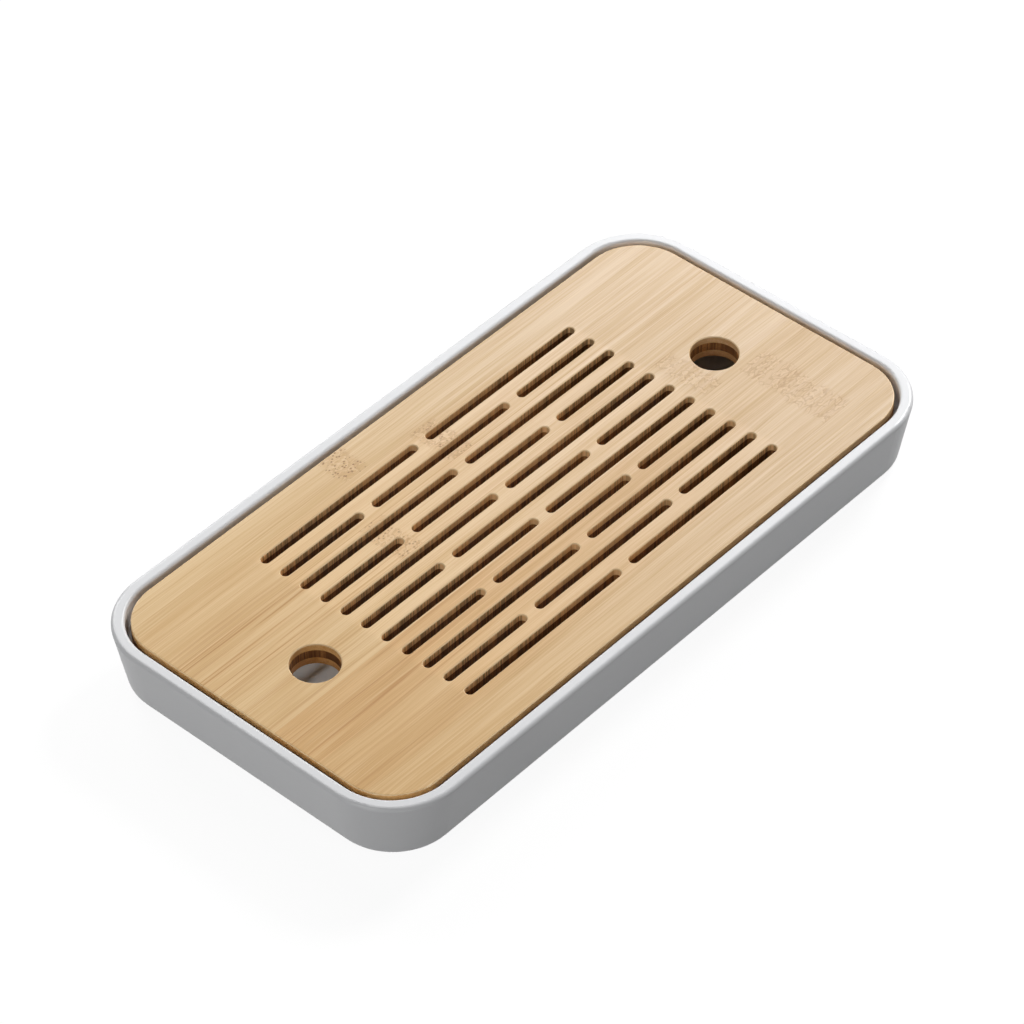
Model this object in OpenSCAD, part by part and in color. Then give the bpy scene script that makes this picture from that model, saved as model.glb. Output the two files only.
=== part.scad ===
// Gongfu tea tray: a moulded basin that catches the water, and a slotted three-ply bamboo panel
// that rests on a ledge inside the basin's rim and lifts out by two finger holes.
// Millimetres, X along the tray, Z up, origin under the middle of the tray on the table.

/* [Basin] */
// Outside length of the basin at its rim
basin_length = 271.6; // [220:0.2:340]
// Outside width of the basin at its rim
basin_width = 140.4; // [125:0.2:200]
// Height of the basin from its underside to the top of its rim
basin_height = 25.2; // [22:0.2:45]
// Outside corner radius of the basin, seen from above
corner_radius = 26; // [20:0.2:45]
// Thickness of the wall at the rim
rim_thickness = 4.5; // [3.2:0.1:5.5]
// Radius of the rim's rounded outside edge
rim_outer_radius = 1.4; // [0.6:0.1:1.9]
// Radius of the rim's rounded inside edge
rim_inner_radius = 1.1; // [0.3:0.1:1.2]
// How far the outside walls lean in from rim to base
wall_lean = 4.3; // [1:0.1:6]
// Radius of the rounded outside edge around the base
base_edge_radius = 3; // [1.5:0.1:5]
// Thickness of the basin's floor
floor_thickness = 3; // [2.4:0.1:5]
// Radius of the fillet between the basin's floor and walls
floor_fillet_radius = 4; // [2:0.1:6]
// Width of the ledge that carries the panel
ledge_width = 4.8; // [4.5:0.1:7]
// Bevel on the inner edge of the ledge
ledge_bevel = 0.8; // [0.3:0.1:1.5]

/* [Panel] */
// Gap between the panel and the rim, all round
panel_gap = 1.9; // [1:0.1:3]
// How far the panel's top lies below the top of the rim
panel_drop = 0.5; // [0:0.1:3]
// Thickness of the top ply
top_ply_thickness = 2.6; // [1.5:0.1:4]
// Thickness of the crosswise core ply
core_ply_thickness = 3.3; // [2:0.1:5]
// Thickness of the bottom ply
bottom_ply_thickness = 2.6; // [1.5:0.1:4]
// Width of the bamboo strip along the middle of each outer ply
middle_strip_width = 23.2; // [20:0.2:26]
// Width of the other bamboo strips, except the outermost pair
strip_width = 19.4; // [15:0.2:21]
// Radius of the rounded outer edge of the panel, top and bottom
panel_edge_radius = 0.5; // [0.3:0.1:1.4]

/* [Slots] */
// Number of rows of drain slots
slot_rows = 11; // [3:2:11]
// Distance from one row of slots to the next
slot_pitch = 9; // [7:0.1:10]
// Width of a slot
slot_width = 3.6; // [2.5:0.1:4.5]
// Length of the slotted field, end to end
slot_field_length = 153; // [110:1:165]
// Length of the middle slot in the rows of three
middle_slot_length = 66.4; // [40:0.2:80]
// Wood left between two slots of a row
slot_bridge = 5.2; // [3:0.1:8]
// Bevel on the top edges of the slots and finger holes
cut_bevel = 0.3; // [0.2:0.1:1]

/* [Finger holes] */
// Diameter of a finger hole
finger_hole_diameter = 17; // [14:0.5:22]
// Distance between the centres of the two finger holes
finger_hole_spacing = 197; // [190:1:210]

/* [Foot pads] */
// Diameter of a foot pad
pad_diameter = 12; // [8:0.5:16]
// Thickness of a foot pad
pad_thickness = 2.2; // [1.8:0.1:3.5]
// Depth of the recess that a foot pad is glued into
pad_recess_depth = 1.2; // [0.8:0.1:1.4]
// Gap around a foot pad in its recess
pad_clearance = 0.2; // [0.1:0.05:0.5]
// Distance from the basin's sides to the centre of a foot pad
pad_inset = 26; // [20:1:40]

/* [Hidden] */
$fn = 96;

// Colours as the object shows them
white_moulding = [0.93, 0.93, 0.94];
light_bamboo = [0.87, 0.74, 0.56];
dark_bamboo = [0.60, 0.44, 0.28];
grey_rubber = [0.55, 0.55, 0.56];

// Cutters run this far past the faces that they cut
past = 1;

// Heights above the table
basin_z = pad_thickness - pad_recess_depth;
panel_thickness = bottom_ply_thickness + core_ply_thickness + top_ply_thickness;
panel_top_z = basin_z + basin_height - panel_drop;
core_top_z = panel_top_z - top_ply_thickness;
core_bottom_z = core_top_z - core_ply_thickness;
panel_bottom_z = core_bottom_z - bottom_ply_thickness;

// The basin's section: x runs outwards from the corner centre, y runs up from the underside
lean = atan(wall_lean / basin_height);
wall_normal = [cos(lean), -sin(lean)];
rim_inside_x = corner_radius - rim_thickness;
rim_outer_centre = [corner_radius - rim_outer_radius, basin_height - rim_outer_radius];
rim_inner_centre = [rim_inside_x + rim_inner_radius, basin_height - rim_inner_radius];
outer_offset = rim_outer_centre * wall_normal + rim_outer_radius;
base_edge_centre = [
    (outer_offset - base_edge_radius + base_edge_radius * sin(lean)) / cos(lean),
    base_edge_radius
];
ledge_height = basin_height - panel_drop - panel_thickness;
ledge_x = rim_inside_x - ledge_width;
inner_offset = [ledge_x, ledge_height - ledge_bevel] * wall_normal;
fillet_height = floor_thickness + floor_fillet_radius;
fillet_centre = [
    (inner_offset - floor_fillet_radius + fillet_height * sin(lean)) / cos(lean),
    fillet_height
];

// The panel's outline
panel_inset = rim_thickness + panel_gap;
panel_length = basin_length - 2 * panel_inset;
panel_width = basin_width - 2 * panel_inset;
panel_corner_radius = corner_radius - panel_inset;

// The glued joints between strips, from one long edge of the panel to the other
strip_joints = [
    -panel_width / 2,
    -middle_strip_width / 2 - 2 * strip_width,
    -middle_strip_width / 2 - strip_width,
    -middle_strip_width / 2,
    middle_strip_width / 2,
    middle_strip_width / 2 + strip_width,
    middle_strip_width / 2 + 2 * strip_width,
    panel_width / 2
];
strip_count = len(strip_joints) - 1;

// Slots of one row as [middle of the slot, length], alternately two slots and three
side_slot_length = (slot_field_length - middle_slot_length) / 2 - slot_bridge;
pair_slot_length = (slot_field_length - slot_bridge) / 2;
rows_of_two = [
    for (side = [-1, 1]) [side * (slot_bridge + pair_slot_length) / 2, pair_slot_length]
];
rows_of_three = [
    for (side = [-1, 0, 1])
        side == 0
            ? [0, middle_slot_length]
            : [side * (middle_slot_length / 2 + slot_bridge + side_slot_length / 2), side_slot_length]
];

// Foot pads, one near each corner
pad_places = [
    for (side_x = [-1, 1], side_y = [-1, 1])
        [side_x * (basin_length / 2 - pad_inset), side_y * (basin_width / 2 - pad_inset)]
];

// A profile swept around a rounded rectangle. The profile's x runs from the corner centre to the
// outside, and the middle is left open.
module swept_round(length, width, radius) {
    for (quarter = [0 : 3]) {
        across = (quarter % 2 == 0 ? length : width) - 2 * radius;
        along = (quarter % 2 == 0 ? width : length) - 2 * radius;
        rotate([0, 0, 90 * quarter])
            translate([across / 2, along / 2, 0]) {
                rotate_extrude(angle = 90)
                    children();
                rotate([90, 0, 0])
                    linear_extrude(along)
                        children();
            }
    }
}

// A board that fills the middle of a swept outline
module middle_board(length, width, radius, thickness) {
    translate([radius - length / 2, radius - width / 2, 0])
        cube([length - 2 * radius, width - 2 * radius, thickness]);
}

// Half of the basin's section, from the corner centre to the outside
module basin_section() {
    difference() {
        union() {
            polygon([
                [0, 0],
                [base_edge_centre.x, 0],
                base_edge_centre + base_edge_radius * wall_normal,
                rim_outer_centre + rim_outer_radius * wall_normal,
                rim_outer_centre,
                [rim_outer_centre.x, basin_height],
                [rim_inner_centre.x, basin_height],
                rim_inner_centre,
                [rim_inside_x, rim_inner_centre.y],
                [rim_inside_x, ledge_height],
                [ledge_x + ledge_bevel, ledge_height],
                [ledge_x, ledge_height - ledge_bevel],
                fillet_centre + floor_fillet_radius * wall_normal,
                [fillet_centre.x, floor_thickness],
                [0, floor_thickness]
            ]);
            translate(base_edge_centre)
                circle(base_edge_radius);
            translate(rim_outer_centre)
                circle(rim_outer_radius);
            translate(rim_inner_centre)
                circle(rim_inner_radius);
        }
        translate(fillet_centre)
            circle(floor_fillet_radius);
    }
}

module tray_basin() {
    color(white_moulding)
        translate([0, 0, basin_z])
            difference() {
                union() {
                    swept_round(basin_length, basin_width, corner_radius)
                        basin_section();
                    middle_board(basin_length, basin_width, corner_radius, floor_thickness);
                }
                for (place = pad_places)
                    translate([place.x, place.y, -past])
                        cylinder(h = pad_recess_depth + past, d = pad_diameter + 2 * pad_clearance);
            }
}

module foot_pad(index) {
    color(grey_rubber)
        translate(pad_places[index])
            cylinder(h = pad_thickness, d = pad_diameter);
}

// Section of an outer ply, with its free outer edge rounded
module ply_section(thickness) {
    radius = panel_corner_radius;
    union() {
        polygon([
            [0, 0],
            [radius, 0],
            [radius, thickness - panel_edge_radius],
            [radius - panel_edge_radius, thickness],
            [0, thickness]
        ]);
        translate([radius - panel_edge_radius, thickness - panel_edge_radius])
            circle(panel_edge_radius);
    }
}

// An outer ply as one sheet, rounded edge upwards, before it is cut
module ply_sheet(thickness) {
    swept_round(panel_length, panel_width, panel_corner_radius)
        ply_section(thickness);
    middle_board(panel_length, panel_width, panel_corner_radius, thickness);
}

// The straight-sided part of one slot, standing on z = 0
module slot_core(length, height) {
    run = length - slot_width;
    translate([-run / 2, -slot_width / 2, 0])
        cube([run, slot_width, height]);
    for (end = [-1, 1])
        translate([end * run / 2, 0, 0])
            cylinder(h = height, d = slot_width);
}

// The bevel around the mouth of one slot, its widest part at z = 0
module slot_mouth(length) {
    run = length - slot_width;
    half = slot_width / 2;
    translate([-run / 2, 0, 0])
        rotate([90, 0, 90])
            linear_extrude(run)
                polygon([
                    [-half, -cut_bevel],
                    [half, -cut_bevel],
                    [half + cut_bevel + past, past],
                    [-half - cut_bevel - past, past]
                ]);
    for (end = [-1, 1])
        translate([end * run / 2, 0, -cut_bevel])
            cylinder(h = cut_bevel + past, r1 = half, r2 = half + cut_bevel + past);
}

// The slots and finger holes, through every ply
module panel_cuts() {
    height = panel_thickness + 2 * past;
    translate([0, 0, panel_bottom_z - past]) {
        for (row = [0 : slot_rows - 1])
            for (slot = row % 2 == 0 ? rows_of_two : rows_of_three)
                translate([slot[0], (row - (slot_rows - 1) / 2) * slot_pitch, 0])
                    slot_core(slot[1], height);
        for (side = [-1, 1])
            translate([side * finger_hole_spacing / 2, 0, 0])
                cylinder(h = height, d = finger_hole_diameter);
    }
}

// The bevels around the mouths of the slots and finger holes in the panel's top
module panel_mouths() {
    hole_radius = finger_hole_diameter / 2;
    translate([0, 0, panel_top_z]) {
        for (row = [0 : slot_rows - 1])
            for (slot = row % 2 == 0 ? rows_of_two : rows_of_three)
                translate([slot[0], (row - (slot_rows - 1) / 2) * slot_pitch, 0])
                    slot_mouth(slot[1]);
        for (side = [-1, 1])
            translate([side * finger_hole_spacing / 2, 0, -cut_bevel])
                cylinder(h = cut_bevel + past, r1 = hole_radius, r2 = hole_radius + cut_bevel + past);
    }
}

// The slice of an outer ply between two glued joints, index 0 at the near long edge
module strip_slice(index, low, high) {
    translate([-panel_length / 2 - past, strip_joints[index], low])
        cube([panel_length + 2 * past, strip_joints[index + 1] - strip_joints[index], high - low]);
}

module top_strip(index) {
    color(light_bamboo)
        difference() {
            intersection() {
                translate([0, 0, core_top_z])
                    ply_sheet(top_ply_thickness);
                strip_slice(index, core_top_z, panel_top_z);
            }
            panel_cuts();
            panel_mouths();
        }
}

module core_ply() {
    color(dark_bamboo)
        difference() {
            translate([0, 0, core_bottom_z]) {
                swept_round(panel_length, panel_width, panel_corner_radius)
                    square([panel_corner_radius, core_ply_thickness]);
                middle_board(panel_length, panel_width, panel_corner_radius, core_ply_thickness);
            }
            panel_cuts();
        }
}

module bottom_strip(index) {
    color(light_bamboo)
        difference() {
            intersection() {
                translate([0, 0, core_bottom_z])
                    mirror([0, 0, 1])
                        ply_sheet(bottom_ply_thickness);
                strip_slice(index, panel_bottom_z, core_bottom_z);
            }
            panel_cuts();
        }
}

tray_basin();
for (n = [1 : len(pad_places)])
    foot_pad(n - 1);
for (n = [1 : strip_count])
    bottom_strip(n - 1);
core_ply();
for (n = [1 : strip_count])
    top_strip(n - 1);
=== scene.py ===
"""Looks of the gongfu tea tray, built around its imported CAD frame.

Metres, +X along the tray, +Z up. Shader patterns are in millimetres.
"""

import math

import bpy
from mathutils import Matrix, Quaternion, Vector


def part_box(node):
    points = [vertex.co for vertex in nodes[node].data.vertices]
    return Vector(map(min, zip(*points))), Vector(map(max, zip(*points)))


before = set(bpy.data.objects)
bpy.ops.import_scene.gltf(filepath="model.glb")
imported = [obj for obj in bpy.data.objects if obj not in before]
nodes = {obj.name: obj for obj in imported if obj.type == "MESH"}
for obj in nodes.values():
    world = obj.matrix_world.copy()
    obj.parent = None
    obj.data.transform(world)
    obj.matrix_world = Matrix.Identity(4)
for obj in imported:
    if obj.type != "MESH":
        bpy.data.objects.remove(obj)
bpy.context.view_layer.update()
MM = 0.001
PANEL_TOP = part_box("top_strip_4")[1].z
STRIPS = range(1, 8)
LAMP_DISTANCE = 1.4
FLOOR_REACH = 20.0
# Grey of the floor in the object's light, and its glow towards the camera
FLOOR_GREY = 0.12
FLOOR_GLOW = 0.92
# Strength of the even light from all round, where 1 is white
WORLD_FILL = 0.08

# Sizes of the bamboo panel in millimetres
PANEL_END = 130.0
SLAT_AREA = (75.0, 46.0)
SLOT_AREA = (78.0, 50.0)
AREA_FADE = 4.0
CORE_STRIP_WIDTH = 19.4
CORE_JOINT_X = -18.0


class Shader:
    """A material's node tree, with short calls that add and join nodes."""

    def __init__(self, name):
        self.material = bpy.data.materials.new(name)
        self.material.use_nodes = True
        self.tree = self.material.node_tree
        self.tree.nodes.clear()
        self.output = self.tree.nodes.new("ShaderNodeOutputMaterial")

    def add(self, kind, settings=None, **inputs):
        node = self.tree.nodes.new("ShaderNode" + kind)
        for key, value in (settings or {}).items():
            setattr(node, key, value)
        for key, value in inputs.items():
            self.feed(node.inputs[key.replace("_", " ")], value)
        return node

    def feed(self, target, value):
        if isinstance(value, bpy.types.NodeSocket):
            self.tree.links.new(value, target)
        else:
            target.default_value = value

    def math(self, operation, a, b=0.0):
        node = self.add("Math", {"operation": operation})
        self.feed(node.inputs[0], a)
        self.feed(node.inputs[1], b)
        return node.outputs[0]

    def ramp(self, value, low, high, out_low=0.0, out_high=1.0):
        """Smooth step of a value from low to high, limited to the outputs."""
        node = self.add("MapRange", {"interpolation_type": "SMOOTHSTEP"}, Value=value)
        self.feed(node.inputs["From Min"], low)
        self.feed(node.inputs["From Max"], high)
        self.feed(node.inputs["To Min"], out_low)
        self.feed(node.inputs["To Max"], out_high)
        return node.outputs[0]

    def mix(self, factor, a, b, blend="MIX"):
        node = self.add("Mix", {"data_type": "RGBA", "blend_type": blend})
        self.feed(node.inputs[0], factor)
        self.feed(node.inputs[6], a)
        self.feed(node.inputs[7], b)
        return node.outputs[2]

    def noise(self, vector, detail=2.0, roughness=0.5):
        """Noise between 0 and 1 with features one unit of the vector wide."""
        node = self.add("TexNoise", Vector=vector, Scale=1.0, Detail=detail, Roughness=roughness)
        return node.outputs[0]

    def place_mm(self):
        """The object's own coordinates in millimetres, as a vector and as X, Y and Z."""
        place = self.add("TexCoord").outputs["Object"]
        scaled = self.add("VectorMath", {"operation": "SCALE"}, Scale=1.0 / MM)
        self.feed(scaled.inputs[0], place)
        split = self.add("SeparateXYZ", Vector=scaled.outputs[0])
        return scaled.outputs[0], split.outputs

    def stretched(self, vector, sizes, offset=(0.0, 0.0, 0.0)):
        """A vector in millimetres divided by the size of a pattern's features along each axis."""
        node = self.add("Mapping", Vector=vector)
        self.feed(node.inputs["Scale"], [1.0 / size for size in sizes])
        self.feed(node.inputs["Location"], offset)
        return node.outputs[0]

    def finish(self, surface):
        self.tree.links.new(surface.outputs[0], self.output.inputs["Surface"])
        return self.material


def grey(value):
    return (value, value, value, 1.0)


def dress(node, material):
    obj = nodes[node]
    obj.data.materials.clear()
    obj.data.materials.append(material)


def white_moulding():
    """Satin white moulded surface with the faintest unevenness."""
    s = Shader("white_moulding")
    place, _ = s.place_mm()
    fine = s.noise(s.stretched(place, (0.9, 0.9, 0.9)), 3.0, 0.6)
    cloud = s.noise(s.stretched(place, (40.0, 40.0, 40.0)))
    colour = s.mix(cloud, (0.77, 0.775, 0.79, 1.0), (0.82, 0.825, 0.835, 1.0))
    bump = s.add("Bump", Height=fine, Strength=0.10, Distance=0.03 * MM)
    surface = s.add(
        "BsdfPrincipled",
        Base_Color=colour,
        Roughness=s.ramp(fine, 0.3, 0.7, 0.34, 0.44),
        Normal=bump.outputs[0],
    )
    return s.finish(surface)


def foot_rubber():
    """Matt grey rubber, slightly mottled."""
    s = Shader("foot_rubber")
    place, _ = s.place_mm()
    grain = s.noise(s.stretched(place, (0.35, 0.35, 0.35)), 3.0, 0.6)
    colour = s.mix(s.ramp(grain, 0.35, 0.65), grey(0.34), grey(0.46))
    bump = s.add("Bump", Height=grain, Strength=0.4, Distance=0.05 * MM)
    surface = s.add(
        "BsdfPrincipled",
        Base_Color=colour,
        Roughness=s.ramp(grain, 0.3, 0.7, 0.7, 0.9),
        Normal=bump.outputs[0],
    )
    return s.finish(surface)


# Colours of bamboo, as linear red, green and blue
GOLD_PALE = (0.762, 0.525, 0.250, 1.0)
GOLD_WARM = (0.705, 0.435, 0.175, 1.0)
# Sandy colours of the +X end: the wood's own tone with painted sheen
SAND_AND_SHEEN_PALE = (0.705, 0.530, 0.342, 1.0)
SAND_AND_SHEEN_WARM = (0.638, 0.452, 0.258, 1.0)
# Pale fibres, also used for the painted highlight beside the growth nodes' curls
BAMBOO_FIBRE_AND_SHINE = (0.860, 0.640, 0.390, 1.0)
BAMBOO_NODE = (0.330, 0.150, 0.045, 1.0)
# Bevels: pale raw-cut wood with a painted highlight
BAMBOO_BEVEL_AND_HIGHLIGHT = (0.920, 0.690, 0.400, 1.0)
# Slot walls: paler raw-cut wood with painted light
SLOT_WALL_CUT_AND_LIGHT = (0.900, 0.580, 0.290, 1.0)
CORE_PALE = (0.400, 0.185, 0.055, 1.0)
CORE_DARK = (0.120, 0.045, 0.010, 1.0)

# Tints that multiply those colours
PALE_TINT = (1.070, 1.090, 1.160, 1.0)
WARM_TINT = (0.910, 0.850, 0.740, 1.0)
SANDED_TINT = (1.080, 1.080, 1.110, 1.0)
STREAK_TINT = (0.760, 0.610, 0.420, 1.0)
# Upright cut faces: the wood's warmer tone with painted shade
WALL_TONE_AND_SHADE = (0.950, 0.830, 0.680, 1.0)


def tilt(s):
    """How far the surface looks up or down: 0 on walls, 1 on flat faces."""
    normal = s.add("SeparateXYZ", Vector=s.add("NewGeometry").outputs["True Normal"])
    return s.math("ABSOLUTE", normal.outputs["Z"])


def middle_area(s, x, y, half_length, half_width):
    """1 over the middle of the panel, fading to 0 outside of it. Places are in millimetres."""
    along = s.ramp(s.math("ABSOLUTE", x), half_length, half_length + AREA_FADE, 1.0, 0.0)
    across = s.ramp(s.math("ABSOLUTE", y), half_width, half_width + AREA_FADE, 1.0, 0.0)
    return s.math("MULTIPLY", along, across)


def cutter_marks(s, place):
    """Upright marks that the router left on the walls of the slots, between 0 and 1."""
    return s.noise(s.stretched(place, (0.5, 60.0, 60.0)), 1.0)


def growth_nodes(s, place, x, shift, nodes_at):
    """Masks of the strip's growth nodes: their band, its dark marks, and a painted highlight
    beside its curls.
    """
    spots = s.add("TexVoronoi", Vector=s.stretched(place, (1.5, 1.2, 1.2), shift), Scale=1.0)
    spot = s.ramp(spots.outputs["Distance"], 0.36, 0.18)
    curl = s.noise(s.stretched(place, (3.4, 2.0, 2.0), shift), 1.0)
    line = s.ramp(s.math("ABSOLUTE", s.math("SUBTRACT", curl, 0.50)), 0.060, 0.010)
    painted_shine = s.ramp(s.math("ABSOLUTE", s.math("SUBTRACT", curl, 0.58)), 0.060, 0.010)
    sway = s.noise(s.stretched(place, (40.0, 9.0, 9.0), shift))
    band, marks = 0.0, 0.0
    for at, width, bend, strength, dotted in nodes_at:
        middle = s.math("ADD", x, s.math("MULTIPLY", s.math("SUBTRACT", sway, 0.5), bend))
        away = s.math("ABSOLUTE", s.math("SUBTRACT", middle, at))
        inside = s.ramp(away, width * 0.62, width * 0.38, 0.0, strength)
        dots = s.math("MULTIPLY", spot, dotted)
        curls = s.math("MULTIPLY", line, 0.6 - 0.5 * dotted)
        band = s.math("MAXIMUM", band, inside)
        both = s.math("MULTIPLY", inside, s.math("ADD", dots, curls))
        marks = s.math("MAXIMUM", marks, both)
    return band, marks, s.math("MULTIPLY", band, painted_shine)


def tinted(s, factor, colour, tint):
    """A colour multiplied by a tint, as far as the factor says."""
    return s.mix(factor, colour, s.mix(1.0, colour, tint, "MULTIPLY"))


def cut_faces(s, place, x, y, colour):
    """Colours for faces that were cut: pale raw-cut bevels and slot walls, brightened with a
    painted highlight and painted light, and darker walls elsewhere, partly painted shade.

    Gives the colour and how far a face is a bevel.
    """
    looks_up = tilt(s)
    bevel = s.math("MULTIPLY", s.ramp(looks_up, 0.35, 0.55), s.ramp(looks_up, 0.97, 0.85))
    wall = s.ramp(looks_up, 0.55, 0.35)
    # Upright faces get a warmer tone of cut wood and painted shade
    colour = tinted(s, wall, colour, WALL_TONE_AND_SHADE)
    # The upright marks in the slots turn darker towards the ends of the slotted area
    darkest_mark = s.ramp(s.math("ABSOLUTE", x), 15.0, 50.0, 0.80, 0.45)
    rough_cut = s.ramp(cutter_marks(s, place), 0.38, 0.62, darkest_mark, 1.0)
    marked = s.add("CombineColor", Red=rough_cut, Green=rough_cut, Blue=rough_cut)
    # Slot walls are painted paler: raw-cut wood and painted light
    slot_wall_with_painted_light = s.math("MULTIPLY", wall, middle_area(s, x, y, *SLOT_AREA))
    colour = s.mix(slot_wall_with_painted_light, colour, s.mix(1.0, SLOT_WALL_CUT_AND_LIGHT, marked.outputs[0], "MULTIPLY"))
    # Bevels take a pale raw-cut colour with a painted highlight
    return s.mix(s.math("MULTIPLY", bevel, 0.9), colour, BAMBOO_BEVEL_AND_HIGHLIGHT), bevel


def bamboo(name, seed, warmth, lines, joints, nodes_at=()):
    """Varnished bamboo strip whose fibres run along X. Places are in millimetres.

    warmth: 0 pale to 1 warm. lines: strength of the brown streaks at the -X end.
    joints: the strip's glued edges as (y, depth of the line).
    nodes_at: growth nodes as (x, width, bend, strength, share of dots).
    """
    s = Shader(name)
    place, (x, y, z) = s.place_mm()
    shift = (seed * 3.7, seed * 1.3, seed * 0.7)
    band, marks, painted_shines = growth_nodes(s, place, x, shift, nodes_at)
    # The fibres wander, and bend around the growth nodes
    wander = s.noise(s.stretched(place, (60.0, 12.0, 12.0), shift))
    bent_y = s.math("ADD", y, s.math("MULTIPLY", wander, 1.6))
    if nodes_at:
        swirl = s.math("SUBTRACT", s.noise(s.stretched(place, (4.0, 2.5, 2.5), shift)), 0.5)
        bent_y = s.math("ADD", bent_y, s.math("MULTIPLY", s.math("MULTIPLY", swirl, band), 3.0))
    bent = s.add("CombineXYZ", X=x, Y=bent_y, Z=z).outputs[0]
    broad = s.noise(s.stretched(bent, (120.0, 5.0, 5.0), shift))
    fibre = s.noise(s.stretched(bent, (60.0, 0.8, 0.8), shift), 3.0, 0.65)
    hair = s.noise(s.stretched(bent, (26.0, 0.30, 0.30), shift), 2.0)
    streak = s.noise(s.stretched(bent, (80.0, 0.9, 0.9), (seed * 5.1, seed * 2.3, seed)), 1.0)
    # Golden at the -X end and paler, sandy at the +X end, partly the wood's tone and partly
    # painted sheen; varied by broad bands and fibres
    tint = s.math("ADD", s.math("MULTIPLY", s.math("SUBTRACT", broad, 0.5), 1.8), 0.5)
    tint = s.math("ADD", tint, s.math("MULTIPLY", s.math("SUBTRACT", fibre, 0.5), 1.8))
    gold = s.mix(warmth, GOLD_PALE, GOLD_WARM)
    sand_and_sheen = s.mix(warmth, SAND_AND_SHEEN_PALE, SAND_AND_SHEEN_WARM)
    colour = s.mix(s.ramp(x, -PANEL_END, PANEL_END), gold, sand_and_sheen)
    colour = s.mix(1.0, colour, s.mix(s.ramp(tint, 0.0, 1.0), PALE_TINT, WARM_TINT), "MULTIPLY")
    # The slats between the slots were sanded paler after the cutting
    colour = tinted(s, middle_area(s, x, y, *SLAT_AREA), colour, SANDED_TINT)
    # Fine light and dark fibres, and brown streaks that grow stronger towards the -X end
    colour = s.mix(s.ramp(hair, 0.50, 0.25, 0.0, 0.30), colour, BAMBOO_FIBRE_AND_SHINE)
    strong = s.ramp(x, 10.0, -105.0, 0.20, lines)
    brown = s.math("MULTIPLY", s.ramp(streak, 0.53, 0.68), strong)
    brown = s.math("MAXIMUM", brown, s.ramp(hair, 0.52, 0.76, 0.0, 0.45))
    for joint, depth in joints:
        beside = s.math("ABSOLUTE", s.math("SUBTRACT", y, joint))
        brown = s.math("MAXIMUM", brown, s.ramp(beside, 0.30, 0.08, 0.0, depth))
    colour = tinted(s, brown, colour, STREAK_TINT)
    if nodes_at:
        colour = tinted(s, s.math("MULTIPLY", band, 0.3), colour, STREAK_TINT)
        # Painted highlight beside the node's curls, as if the curls stood in relief
        colour = s.mix(s.math("MULTIPLY", painted_shines, 0.4), colour, BAMBOO_FIBRE_AND_SHINE)
        colour = s.mix(marks, colour, BAMBOO_NODE)
    colour, bevel = cut_faces(s, place, x, y, colour)
    varnish = s.ramp(fibre, 0.3, 0.7, 0.36, 0.46)
    bump = s.add("Bump", Height=fibre, Strength=0.10, Distance=0.05 * MM)
    surface = s.add(
        "BsdfPrincipled",
        Base_Color=colour,
        Roughness=s.math("MAXIMUM", varnish, s.math("MULTIPLY", bevel, 0.75)),
        Normal=bump.outputs[0],
    )
    return s.finish(surface)


def core_bamboo():
    """The crosswise core: end grain with fine pores, in strips with a tone of their own."""
    s = Shader("core_bamboo")
    place, (x, _, _) = s.place_mm()
    along = s.math("SUBTRACT", x, CORE_JOINT_X)
    strip = s.math("FLOOR", s.math("DIVIDE", along, CORE_STRIP_WIDTH))
    tone = s.add("TexWhiteNoise", {"noise_dimensions": "1D"}, W=strip).outputs["Value"]
    pores = s.add("TexVoronoi", Vector=s.stretched(place, (0.55, 6.0, 0.55)), Scale=1.0)
    pore = s.ramp(pores.outputs["Distance"], 0.45, 0.15)
    grain = s.noise(s.stretched(place, (0.8, 40.0, 2.2)), 2.0)
    marks = s.ramp(cutter_marks(s, place), 0.35, 0.65)
    light = s.math("ADD", s.math("MULTIPLY", tone, 0.25), s.math("MULTIPLY", grain, 0.3))
    light = s.math("ADD", light, s.math("MULTIPLY", marks, 0.45))
    colour = s.mix(s.ramp(light, 0.2, 0.9), CORE_DARK, CORE_PALE)
    colour = s.mix(s.math("MULTIPLY", pore, 0.5), colour, CORE_DARK)
    bump = s.add("Bump", Height=grain, Strength=0.3, Distance=0.05 * MM)
    surface = s.add(
        "BsdfPrincipled",
        Base_Color=colour,
        Roughness=s.ramp(grain, 0.3, 0.7, 0.5, 0.7),
        Normal=bump.outputs[0],
    )
    return s.finish(surface)


# Growth nodes of the top strips, as (x, width, bend, strength, share of dots), in millimetres
TOP_NODES = {
    7: [(-25.5, 11.0, 3.0, 0.95, 0.90)],
    6: [(5.0, 11.0, 6.0, 0.80, 0.60)],
    5: [(-40.5, 10.0, 6.0, 0.85, 0.70)],
    4: [(84.5, 10.0, 6.0, 0.50, 0.30)],
    3: [(104.0, 14.0, 6.0, 0.52, 0.20)],
    2: [(103.5, 14.0, 6.0, 0.52, 0.20)],
}
# Warmth of each top strip, 0 pale to 1 warm, and the strength of its brown streaks
TOP_WARMTH = {1: 0.40, 2: 0.70, 3: 1.00, 4: 0.15, 5: 0.35, 6: 0.30, 7: 0.00}
TOP_LINES = {1: 0.25, 2: 0.45, 3: 0.80, 4: 0.50, 5: 1.00, 6: 0.45, 7: 0.45}
# Depth of the glue line between strip n and strip n + 1
JOINT_DEPTH = {0: 0.0, 1: 0.30, 2: 0.10, 3: 0.20, 4: 0.60, 5: 0.60, 6: 0.20, 7: 0.0}


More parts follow.
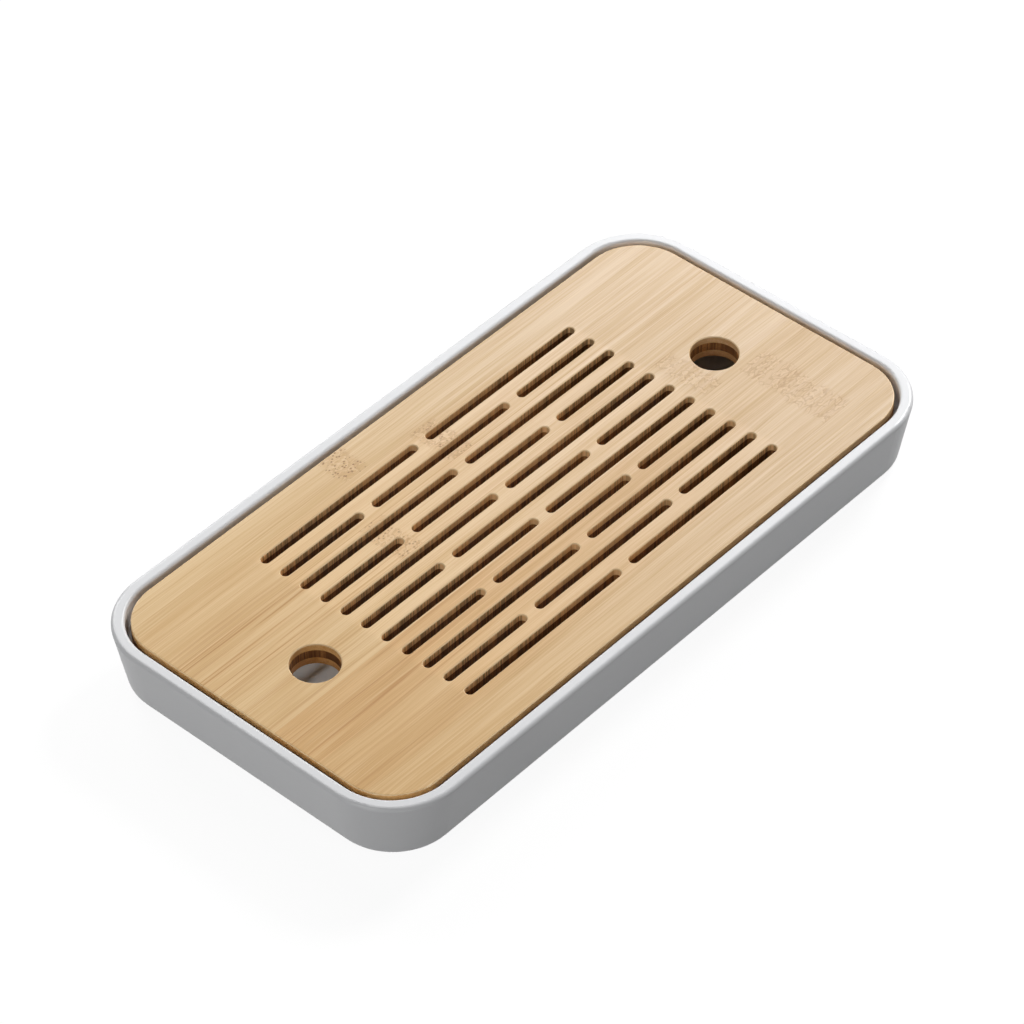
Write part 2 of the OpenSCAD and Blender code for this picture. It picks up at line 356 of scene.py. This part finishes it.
def dress_panel():
    for n in STRIPS:
        low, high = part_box(f"top_strip_{n}")
        joints = ((low.y / MM, JOINT_DEPTH[n - 1]), (high.y / MM, JOINT_DEPTH[n]))
        look = (TOP_WARMTH[n], TOP_LINES[n], joints, TOP_NODES.get(n, ()))
        dress(f"top_strip_{n}", bamboo(f"top_bamboo_{n}", n, *look))
        under_nodes = [(n * 31 % 130 - 65, 10.0, 5.0, 0.5, 0.6)]
        under = bamboo(f"under_bamboo_{n}", n + 20, 0.5, 0.6, joints, under_nodes)
        dress(f"bottom_strip_{n}", under)
    dress("core_ply", core_bamboo())


def studio_floor():
    """A wide pale floor that shows white to the camera away from the object's shadow."""
    mesh = bpy.data.meshes.new("studio_floor")
    reach = FLOOR_REACH
    corners = [(-reach, -reach, 0), (reach, -reach, 0), (reach, reach, 0), (-reach, reach, 0)]
    mesh.from_pydata(corners, [], [(0, 1, 2, 3)])
    floor = bpy.data.objects.new("studio_floor", mesh)
    bpy.context.scene.collection.objects.link(floor)
    s = Shader("pale_floor")
    rays = s.add("LightPath")
    seen = s.math("MAXIMUM", rays.outputs["Is Camera Ray"], rays.outputs["Is Glossy Ray"])
    seen = s.math("MAXIMUM", seen, rays.outputs["Is Transmission Ray"])
    matt = s.add("BsdfDiffuse", Color=grey(FLOOR_GREY))
    glow = s.add("Emission", Color=grey(1.0), Strength=s.math("MULTIPLY", seen, FLOOR_GLOW))
    both = s.add("AddShader")
    s.tree.links.new(matt.outputs[0], both.inputs[0])
    s.tree.links.new(glow.outputs[0], both.inputs[1])
    mesh.materials.append(s.finish(both))


def softbox(name, way, size, watts):
    """A square area lamp in a direction from the object, aimed at its middle."""
    lamp = bpy.data.lights.new(name, "AREA")
    lamp.energy = watts
    lamp.size = size
    box = bpy.data.objects.new(name, lamp)
    bpy.context.scene.collection.objects.link(box)
    box.location = Vector(way).normalized() * LAMP_DISTANCE
    box.rotation_mode = "QUATERNION"
    box.rotation_quaternion = (-box.location).to_track_quat("-Z", "Y")


def studio_light():
    """Softboxes behind, at both ends, and a low even fill from all round."""
    world = bpy.data.worlds.new("studio")
    world.use_nodes = True
    bpy.context.scene.world = world
    tree = world.node_tree
    back = tree.nodes["Background"]
    rays = tree.nodes.new("ShaderNodeLightPath")
    seen = tree.nodes.new("ShaderNodeMath")
    seen.operation = "MAXIMUM"
    tree.links.new(rays.outputs["Is Camera Ray"], seen.inputs[0])
    tree.links.new(rays.outputs["Is Transmission Ray"], seen.inputs[1])
    level = tree.nodes.new("ShaderNodeMapRange")
    level.inputs["To Min"].default_value = WORLD_FILL
    level.inputs["To Max"].default_value = 1.0
    tree.links.new(seen.outputs[0], level.inputs["Value"])
    tree.links.new(level.outputs[0], back.inputs["Strength"])
    back.inputs["Color"].default_value = (1, 1, 1, 1)
    softbox("key", (0.64, 0.46, 0.62), 0.35, 2.8)
    softbox("side", (0.80, 0.06, 0.60), 0.35, 14.0)
    softbox("back", (0.27, 0.80, 0.53), 0.60, 7.2)
    softbox("fill", (-0.90, -0.10, 0.40), 0.60, 5.2)
    softbox("front", (0.10, -0.90, 0.40), 0.60, 2.1)


def photo_camera():
    """The photograph's view, with angles and distance found from the slots and holes."""
    azimuth, elevation, roll = math.radians(-47.42), math.radians(43.61), math.radians(-0.936)
    distance = 1.512
    target = Vector((-0.00531, -0.00046, PANEL_TOP))
    back = Vector((
        math.sin(azimuth) * math.cos(elevation),
        -math.cos(azimuth) * math.cos(elevation),
        math.sin(elevation),
    ))
    data = bpy.data.cameras.new("photo_camera")
    data.sensor_width = 36.0
    data.lens = 161.64
    camera = bpy.data.objects.new("photo_camera", data)
    bpy.context.scene.collection.objects.link(camera)
    camera.rotation_mode = "QUATERNION"
    camera.location = target + back * distance
    camera.rotation_quaternion = Quaternion(back, roll) @ (-back).to_track_quat("-Z", "Y")
    bpy.context.scene.camera = camera


dress("tray_basin", white_moulding())
rubber = foot_rubber()
for n in range(1, 5):
    dress(f"foot_pad_{n}", rubber)
dress_panel()
studio_floor()
studio_light()
photo_camera()
bpy.context.scene.view_settings.view_transform = "Standard"
